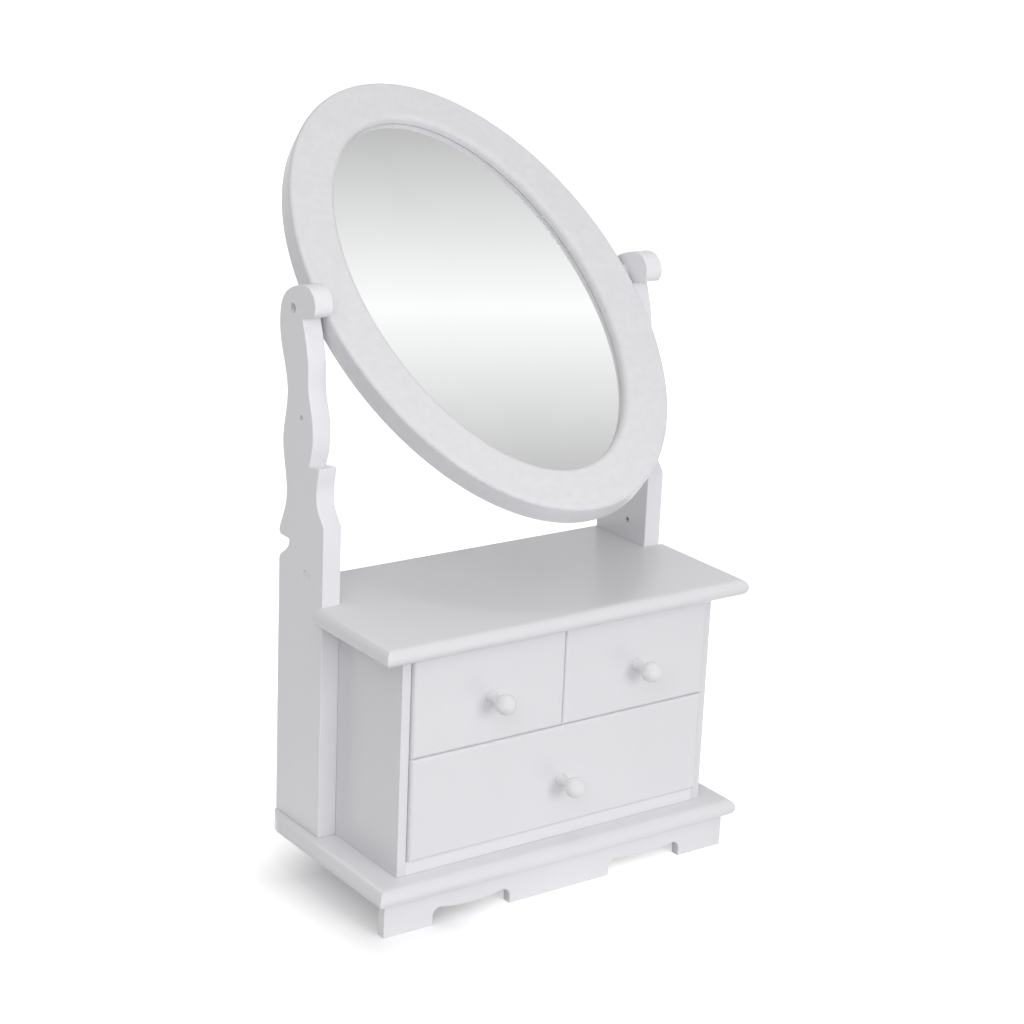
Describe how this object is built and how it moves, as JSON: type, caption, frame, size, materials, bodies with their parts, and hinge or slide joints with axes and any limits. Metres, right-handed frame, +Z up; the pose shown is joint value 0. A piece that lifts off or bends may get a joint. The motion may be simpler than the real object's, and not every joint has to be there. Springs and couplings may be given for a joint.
{
  "type": "dressing table mirror",
  "caption": "White painted table-top dressing mirror: an oval mirror in a wide flat frame tilts between scroll-cut posts on a small cabinet of drawers with turned ball knobs.",
  "frame": {"origin": "on the floor, at the middle of the sole of the front skirt's centre foot", "axes": "+X to the right seen from the front, +Y from the front to the back, +Z up"},
  "size_m": [0.329, 0.3205, 0.5664],
  "materials": {
    "white_paint": "smooth white satin paint on fibre board",
    "knob_paint": "glossy white paint on turned wood",
    "bare_board": "bare pale board",
    "mirror_glass": "silvered plate glass",
    "steel": "plain zinc plated steel",
    "brass": "turned brass",
    "washer_plastic": "white nylon"
  },
  "bodies": {
    "cabinet": {"base_board": "white_paint", "front_skirt": "white_paint", "left_side_panel": "white_paint", "right_side_panel": "white_paint", "top_board": "white_paint", "left_post": "white_paint", "right_post": "white_paint", "bottom_panel": "white_paint", "rear_foot_rail": "bare_board", "glue_blocks": "bare_board", "back_panel": "bare_board", "drawer_shelf": "bare_board", "drawer_divider": "bare_board", "top_dowels": "bare_board", "post_plugs": "white_paint", "base_screws": "steel", "post_screws": "steel", "back_panel_pins": "steel"},
    "mirror": {"mirror_frame": "white_paint", "mirror_glass": "mirror_glass", "mirror_back_board": "bare_board", "back_board_clips": "steel", "clip_screws": "steel", "left_pivot_bolt": "steel", "left_pivot_insert": "brass", "left_pivot_washer": "washer_plastic", "right_pivot_bolt": "steel", "right_pivot_insert": "brass", "right_pivot_washer": "washer_plastic"},
    "left_drawer": {"left_drawer_front": "white_paint", "left_drawer_knob": "knob_paint", "left_drawer_knob_screw": "steel", "left_drawer_left_side": "bare_board", "left_drawer_right_side": "bare_board", "left_drawer_back": "bare_board", "left_drawer_bottom": "bare_board"},
    "right_drawer": {"right_drawer_front": "white_paint", "right_drawer_knob": "knob_paint", "right_drawer_knob_screw": "steel", "right_drawer_left_side": "bare_board", "right_drawer_right_side": "bare_board", "right_drawer_back": "bare_board", "right_drawer_bottom": "bare_board"},
    "lower_drawer": {"lower_drawer_front": "white_paint", "lower_drawer_knob": "knob_paint", "lower_drawer_knob_screw": "steel", "lower_drawer_left_side": "bare_board", "lower_drawer_right_side": "bare_board", "lower_drawer_back": "bare_board", "lower_drawer_bottom": "bare_board"}
  },
  "joints": [
    {"name": "mirror_tilt", "type": "hinge", "parent": "cabinet", "child": "mirror", "pos_m": [0, 0.1388, 0.4332], "axis": [1, 0, 0], "continuous": true},
    {"name": "left_drawer_slide", "type": "slide", "parent": "cabinet", "child": "left_drawer", "axis": [0, -1, 0], "range_m": [0, 0.11]},
    {"name": "right_drawer_slide", "type": "slide", "parent": "cabinet", "child": "right_drawer", "axis": [0, -1, 0], "range_m": [0, 0.11]},
    {"name": "lower_drawer_slide", "type": "slide", "parent": "cabinet", "child": "lower_drawer", "axis": [0, -1, 0], "range_m": [0, 0.11]}
  ]
}
